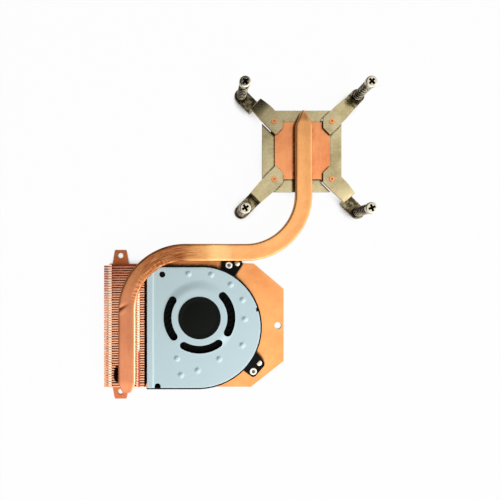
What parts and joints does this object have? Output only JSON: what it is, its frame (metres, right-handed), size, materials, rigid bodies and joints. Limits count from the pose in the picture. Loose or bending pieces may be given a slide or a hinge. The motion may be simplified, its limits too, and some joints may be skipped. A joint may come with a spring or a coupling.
{
  "type": "heatsink with blower",
  "caption": "Copper heatsink assembly: sprung contact block, flattened heat pipe, fin stack and a flat blower on one base plate.",
  "frame": {"origin": "middle of the contact block's face that touches the processor", "axes": "+Z away from the board, out of the cover and the screw heads; +Y along the block's heat pipe towards its closed end; +X across, away from the fins"},
  "size_m": [0.1659, 0.2019, 0.0224],
  "materials": {
    "copper": "satin copper, lightly brushed",
    "nickel": "warm nickel plate, brushed",
    "screw_steel": "nickel-plated steel",
    "spring_steel": "dark spring steel",
    "black_plastic": "black, fine matt grain",
    "impeller_plastic": "black, matt",
    "cover_paint": "pale blue-grey satin paint",
    "magnet": "dark bonded magnet",
    "bearing_brass": "sintered bronze",
    "board": "green circuit board",
    "lamination": "stacked steel sheets",
    "winding": "enamelled copper wire"
  },
  "bodies": {
    "heatsink": {"base_plate": "copper", "fin_stack": "copper", "heat_pipe": "copper", "contact_block": "copper", "spring_frame": "nickel", "arm_1": "nickel", "spring_1": "spring_steel", "arm_2": "nickel", "spring_2": "spring_steel", "arm_3": "nickel", "spring_3": "spring_steel", "arm_4": "nickel", "spring_4": "spring_steel", "fan_wall": "black_plastic", "hub_disc": "black_plastic", "fan_cover": "cover_paint", "wall_screw_1": "screw_steel", "wall_screw_2": "screw_steel", "eyelet_1": "screw_steel", "eyelet_2": "screw_steel", "bearing_sleeve": "bearing_brass", "motor_board": "board", "stator_core": "lamination", "stator_coils": "winding"},
    "rotor": {"impeller": "impeller_plastic", "rotor_ring": "spring_steel", "magnet_ring": "magnet", "shaft": "screw_steel"},
    "clip_1": {"clip_1": "spring_steel"},
    "screw_1": {"screw_1": "screw_steel"},
    "clip_2": {"clip_2": "spring_steel"},
    "screw_2": {"screw_2": "screw_steel"},
    "clip_3": {"clip_3": "spring_steel"},
    "screw_3": {"screw_3": "screw_steel"},
    "clip_4": {"clip_4": "spring_steel"},
    "screw_4": {"screw_4": "screw_steel"}
  },
  "joints": [
    {"name": "impeller_spin", "type": "hinge", "parent": "heatsink", "child": "rotor", "pos_m": [-0.0646, -0.1047, 0], "axis": [0, 0, 1], "continuous": true},
    {"name": "screw_1_press", "type": "slide", "parent": "heatsink", "child": "clip_1", "axis": [0, 0, -1], "range_m": [0, 0.005], "stiffness_N_per_m": 400, "springref_m": -0.0015, "deforming": ["spring_1"]},
    {"name": "screw_1_turn", "type": "hinge", "parent": "clip_1", "child": "screw_1", "pos_m": [0.0375, 0.0375, 0], "axis": [0, 0, 1], "continuous": true},
    {"name": "screw_2_press", "type": "slide", "parent": "heatsink", "child": "clip_2", "axis": [0, 0, -1], "range_m": [0, 0.005], "stiffness_N_per_m": 400, "springref_m": -0.0015, "deforming": ["spring_2"]},
    {"name": "screw_2_turn", "type": "hinge", "parent": "clip_2", "child": "screw_2", "pos_m": [-0.0375, 0.0375, 0], "axis": [0, 0, 1], "continuous": true},
    {"name": "screw_3_press", "type": "slide", "parent": "heatsink", "child": "clip_3", "axis": [0, 0, -1], "range_m": [0, 0.005], "stiffness_N_per_m": 400, "springref_m": -0.0015, "deforming": ["spring_3"]},
    {"name": "screw_3_turn", "type": "hinge", "parent": "clip_3", "child": "screw_3", "pos_m": [-0.0375, -0.0375, 0], "axis": [0, 0, 1], "continuous": true},
    {"name": "screw_4_press", "type": "slide", "parent": "heatsink", "child": "clip_4", "axis": [0, 0, -1], "range_m": [0, 0.005], "stiffness_N_per_m": 400, "springref_m": -0.0015, "deforming": ["spring_4"]},
    {"name": "screw_4_turn", "type": "hinge", "parent": "clip_4", "child": "screw_4", "pos_m": [0.0375, -0.0375, 0], "axis": [0, 0, 1], "continuous": true}
  ]
}
